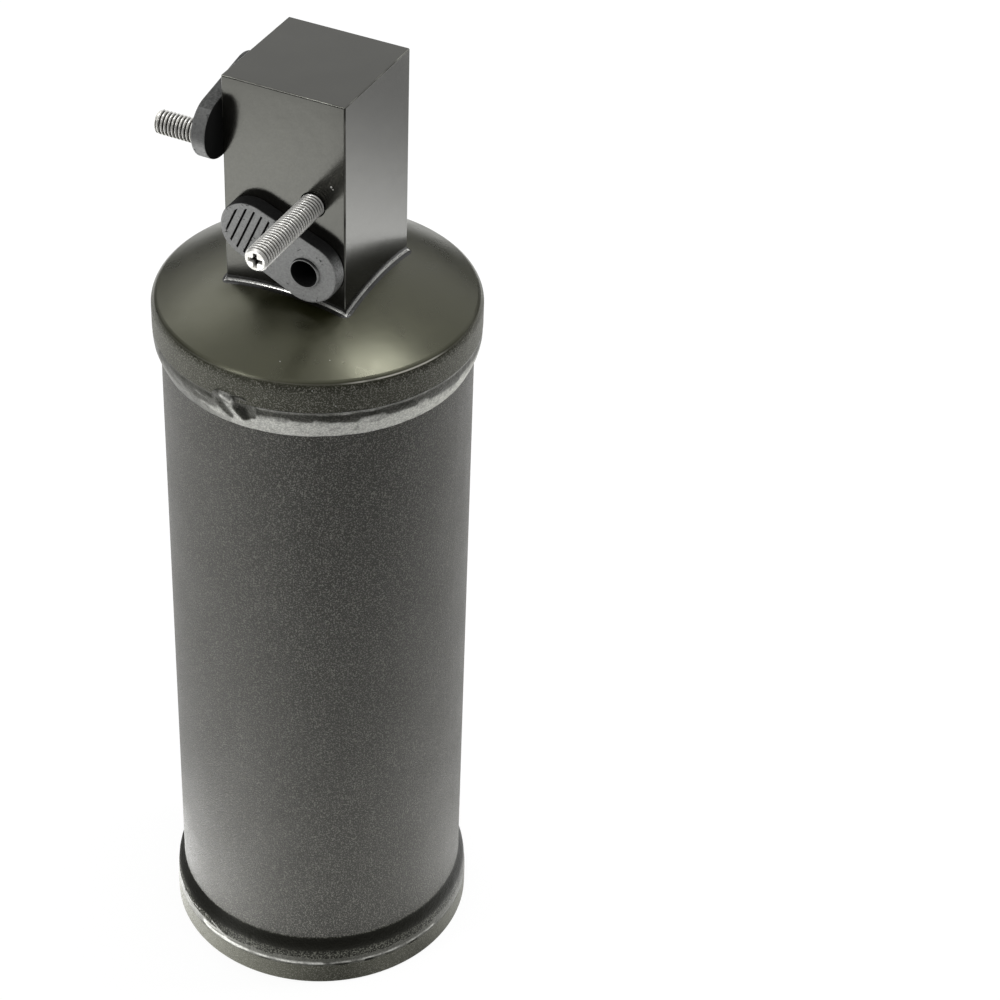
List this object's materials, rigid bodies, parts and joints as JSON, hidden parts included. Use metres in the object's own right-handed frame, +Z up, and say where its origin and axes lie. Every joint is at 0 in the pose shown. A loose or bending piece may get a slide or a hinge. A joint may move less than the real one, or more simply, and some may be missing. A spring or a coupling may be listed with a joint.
{
  "type": "receiver drier",
  "caption": "Black steel refrigerant receiver drier: a round welded canister with a square head block that carries threaded studs and plugged ports.",
  "frame": {"origin": "centre of the base, on the axis of the round body", "axes": "+Z up along the body to the head block, -Y out of the front port with its stud, -X out of the left port with its stud"},
  "size_m": [0.0828, 0.0828, 0.2601],
  "materials": {
    "tube_paint": "satin black enamel with a fine grain",
    "cap_paint": "semi-gloss black enamel",
    "weld_paint": "semi-gloss black enamel over a weld bead",
    "block_paint": "semi-gloss black enamel",
    "stud_zinc": "bright zinc plate",
    "plug_plastic": "moulded black plastic with a fine grain",
    "bare_steel": "bare drawn or pressed steel",
    "felt": "pressed wool felt",
    "desiccant": "bed of molecular sieve beads"
  },
  "bodies": {
    "canister": {"shell_tube": "tube_paint", "top_cap": "cap_paint", "bottom_cap": "cap_paint", "upper_weld": "weld_paint", "lower_weld": "weld_paint", "head_block": "block_paint", "head_braze": "weld_paint", "front_stud": "stud_zinc", "left_stud": "stud_zinc", "pickup_tube": "bare_steel", "strainer_ferrule": "bare_steel", "strainer_screen": "bare_steel", "strainer_foot": "bare_steel", "lower_plate": "bare_steel", "upper_plate": "bare_steel", "lower_pad": "felt", "desiccant_bed": "desiccant", "upper_pad": "felt", "pressure_spring": "bare_steel"},
    "front_plug": {"front_port_plug": "plug_plastic"},
    "left_plug": {"left_port_plug": "plug_plastic"}
  },
  "joints": [
    {"name": "front_plug_pull", "type": "slide", "parent": "canister", "child": "front_plug", "axis": [0, -1, 0], "range_m": [0, 0.04]},
    {"name": "left_plug_pull", "type": "slide", "parent": "canister", "child": "left_plug", "axis": [-1, 0, 0], "range_m": [0, 0.04]}
  ]
}
